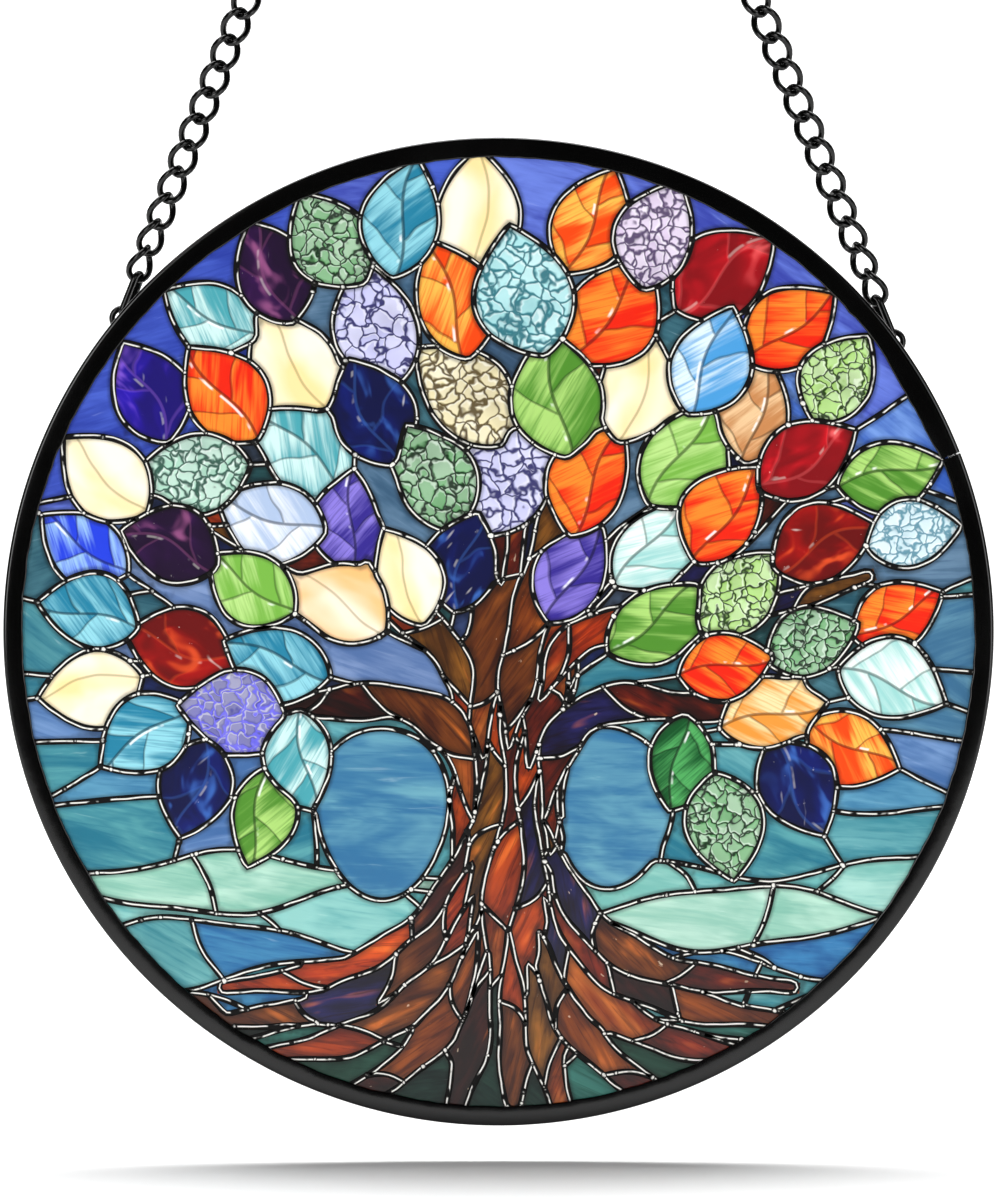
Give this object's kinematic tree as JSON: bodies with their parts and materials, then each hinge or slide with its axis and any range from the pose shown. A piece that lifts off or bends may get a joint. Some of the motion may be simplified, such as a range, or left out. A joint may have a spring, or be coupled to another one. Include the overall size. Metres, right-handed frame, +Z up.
{
  "type": "acrylic suncatcher",
  "caption": "Round window ornament: a thin clear acrylic disc with a stained-glass-style tree picture, held in a slim black metal rim and hung by a fine black chain.",
  "frame": {"origin": "where a hook bears: the underside of the upper wire of the top link", "axes": "+Z up along the hang, +X to the picture's right, the picture faces -Y"},
  "size_m": [0.2, 0.0097, 0.3559],
  "materials": {
    "rim": "gloss",
    "chain": "gloss",
    "acrylic": "gloss"
  },
  "bodies": {
    "root": {"rim": "rim", "acrylic_disc": "acrylic", "eyelet_left": "chain", "connecting_link_left": "chain", "upper_chain_left": "chain", "chain_link_left_01": "chain", "chain_link_left_02": "chain", "chain_link_left_03": "chain", "chain_link_left_04": "chain", "chain_link_left_05": "chain", "chain_link_left_06": "chain", "chain_link_left_07": "chain", "chain_link_left_08": "chain", "chain_link_left_09": "chain", "chain_link_left_10": "chain", "chain_link_left_11": "chain", "chain_link_left_12": "chain", "chain_link_left_13": "chain", "chain_link_left_14": "chain", "chain_link_left_15": "chain", "chain_link_left_16": "chain", "chain_link_left_17": "chain", "chain_link_left_18": "chain", "chain_link_left_19": "chain", "chain_link_left_20": "chain", "chain_link_left_21": "chain", "chain_link_left_22": "chain", "chain_link_left_23": "chain", "chain_link_left_24": "chain", "chain_link_left_25": "chain", "eyelet_right": "chain", "connecting_link_right": "chain", "upper_chain_right": "chain", "chain_link_right_01": "chain", "chain_link_right_02": "chain", "chain_link_right_03": "chain", "chain_link_right_04": "chain", "chain_link_right_05": "chain", "chain_link_right_06": "chain", "chain_link_right_07": "chain", "chain_link_right_08": "chain", "chain_link_right_09": "chain", "chain_link_right_10": "chain", "chain_link_right_11": "chain", "chain_link_right_12": "chain", "chain_link_right_13": "chain", "chain_link_right_14": "chain", "chain_link_right_15": "chain", "chain_link_right_16": "chain", "chain_link_right_17": "chain", "chain_link_right_18": "chain", "chain_link_right_19": "chain", "chain_link_right_20": "chain", "chain_link_right_21": "chain", "chain_link_right_22": "chain", "chain_link_right_23": "chain", "chain_link_right_24": "chain", "chain_link_right_25": "chain", "top_link": "chain"}
  },
  "joints": []
}
